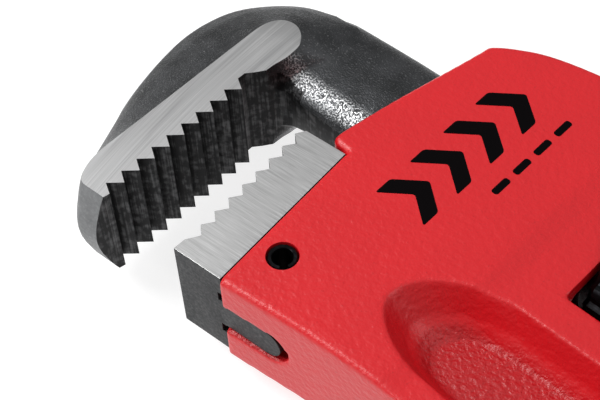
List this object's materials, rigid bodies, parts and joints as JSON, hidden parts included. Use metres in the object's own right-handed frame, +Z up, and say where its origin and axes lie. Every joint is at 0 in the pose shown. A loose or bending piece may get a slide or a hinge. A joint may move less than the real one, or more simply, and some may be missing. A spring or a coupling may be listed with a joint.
{
  "type": "pipe wrench",
  "caption": "Straight pipe wrench: toothed sliding hook jaw on a threaded shank, knurled nut, pinned heel jaw and I-beam handle.",
  "frame": {"origin": "middle of the footprint of the whole wrench as it lies flat, on the surface under the nut", "axes": "+X along the shank and handle, towards the handle's hanging hole; -Y is the side of the open mouth; +Z is up through the wrench's thickness"},
  "size_m": [0.3332, 0.0884, 0.0352],
  "materials": {
    "red_powder_coat": "glossy red powder coat with a fine orange peel on a cast handle",
    "ground_steel": "surface-ground tool steel with grinding lines",
    "forged_steel": "dark shot-blasted drop forging with ground side pads and near-black teeth",
    "black_oxide_steel": "black oxide, lightly oiled",
    "spring_steel": "blued spring steel"
  },
  "bodies": {
    "handle": {"handle_casting": "red_powder_coat", "heel_jaw": "ground_steel", "heel_jaw_pin": "black_oxide_steel", "coil_spring": "spring_steel"},
    "rocker": {"flat_spring": "spring_steel", "spring_rivet": "spring_steel"},
    "hook": {"hook_jaw": "forged_steel"},
    "nut": {"adjusting_nut": "black_oxide_steel"}
  },
  "joints": [
    {"name": "jaw_rock", "type": "hinge", "parent": "handle", "child": "rocker", "pos_m": [-0.05743, 0.01722, 0.0176], "axis": [0, 0, 1], "range_deg": [0, 3], "stiffness_Nm_per_rad": 4, "deforming": ["coil_spring"]},
    {"name": "nut_spin", "type": "hinge", "parent": "rocker", "child": "nut", "pos_m": [-0.05743, 0.01722, 0.0176], "axis": [1, 0, 0], "range_deg": [-940, 2524]},
    {"name": "jaw_slide", "type": "slide", "parent": "rocker", "child": "hook", "axis": [1, 0, 0], "range_m": [-0.035, 0.013]}
  ],
  "couplings": [
    {"joint": "nut_spin", "follows": "jaw_slide", "rad_per_m": -1256.6}
  ]
}
